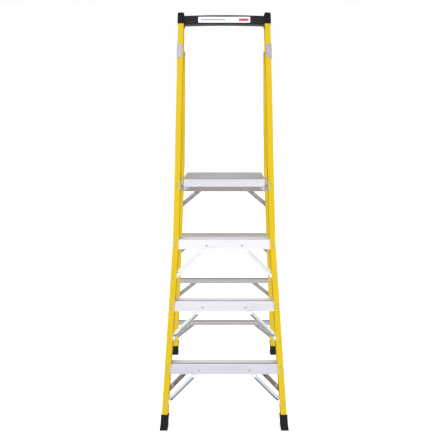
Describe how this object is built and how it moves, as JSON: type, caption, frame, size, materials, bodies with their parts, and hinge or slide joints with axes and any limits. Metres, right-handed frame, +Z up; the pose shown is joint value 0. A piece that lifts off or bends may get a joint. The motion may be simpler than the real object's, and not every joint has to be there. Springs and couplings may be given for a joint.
{
  "type": "platform step ladder",
  "caption": "Fibreglass platform step ladder: a front section with flat ribbed treads, a guard-rail top and a standing platform, and a rear section that folds against it.",
  "frame": {"origin": "middle of the footprint, on the floor the four feet stand on", "axes": "+Z up, +Y the way the climber faces (front section at -Y, rear section at +Y), +X the climber's right"},
  "size_m": [0.6484, 1.2832, 2.0184],
  "materials": {
    "yellow_fibreglass": "pultruded fibreglass, semi-gloss",
    "extruded_aluminium": "mill finish extrusion",
    "pressed_aluminium": "pressed sheet",
    "zinc_steel": "zinc plated",
    "rivet_metal": "plain rivet",
    "black_moulding": "moulded, fine grain",
    "boot_rubber": "moulded rubber",
    "plain_label": "plain sticker with no lettering"
  },
  "bodies": {
    "front_section": {"bracket_rivets": "rivet_metal", "end_cap_left": "black_moulding", "end_cap_right": "black_moulding", "front_boot_left": "boot_rubber", "front_boot_right": "boot_rubber", "front_boot_rivets": "rivet_metal", "front_rail_left": "yellow_fibreglass", "front_rail_right": "yellow_fibreglass", "guard_bar": "black_moulding", "guard_bar_bolts": "zinc_steel", "hinge_bolts": "zinc_steel", "hinge_bracket_left": "zinc_steel", "hinge_bracket_right": "zinc_steel", "hinge_washers": "zinc_steel", "label_plate": "plain_label", "platform_bracket_left": "zinc_steel", "platform_bracket_right": "zinc_steel", "platform_pivot_bolts": "zinc_steel", "platform_pivot_collars": "zinc_steel", "tread_1": "extruded_aluminium", "tread_1_front_brace_left": "pressed_aluminium", "tread_1_front_brace_right": "pressed_aluminium", "tread_1_rear_brace_left": "pressed_aluminium", "tread_1_rear_brace_right": "pressed_aluminium", "tread_2": "extruded_aluminium", "tread_2_front_brace_left": "pressed_aluminium", "tread_2_front_brace_right": "pressed_aluminium", "tread_3": "extruded_aluminium", "tread_3_front_brace_left": "pressed_aluminium", "tread_3_front_brace_right": "pressed_aluminium", "tread_rivets": "rivet_metal"},
    "rear_section": {"hinge_block_left": "black_moulding", "hinge_block_right": "black_moulding", "rear_bar_1": "extruded_aluminium", "rear_bar_1_brace_left": "pressed_aluminium", "rear_bar_1_brace_right": "pressed_aluminium", "rear_bar_2": "extruded_aluminium", "rear_bar_2_brace_left": "pressed_aluminium", "rear_bar_2_brace_right": "pressed_aluminium", "rear_bar_3": "extruded_aluminium", "rear_bar_3_brace_left": "pressed_aluminium", "rear_bar_3_brace_right": "pressed_aluminium", "rear_bar_4": "extruded_aluminium", "rear_bar_4_brace_left": "pressed_aluminium", "rear_bar_4_brace_right": "pressed_aluminium", "rear_boot_left": "boot_rubber", "rear_boot_right": "boot_rubber", "rear_boot_rivets": "rivet_metal", "rear_frame_rivets": "rivet_metal", "rear_rail_left": "yellow_fibreglass", "rear_rail_right": "yellow_fibreglass"},
    "platform": {"platform_cleats": "extruded_aluminium", "platform_corner_blocks": "black_moulding", "platform_deck": "extruded_aluminium", "platform_front_rail": "extruded_aluminium", "platform_rear_rail": "extruded_aluminium", "platform_rivets": "rivet_metal", "platform_side_left": "extruded_aluminium", "platform_side_right": "extruded_aluminium", "platform_stiffeners": "extruded_aluminium"}
  },
  "joints": [
    {"name": "rear_fold", "type": "hinge", "parent": "front_section", "child": "rear_section", "pos_m": [0, -0.05445, 1.80319], "axis": [-1, 0, 0], "range_deg": [0, 34]},
    {"name": "platform_lift", "type": "hinge", "parent": "front_section", "child": "platform", "pos_m": [0, -0.29905, 1.14197], "axis": [1, 0, 0], "range_deg": [0, 75]}
  ],
  "couplings": [
    {"joint": "platform_lift", "follows": "rear_fold", "ratio": 2.2}
  ]
}
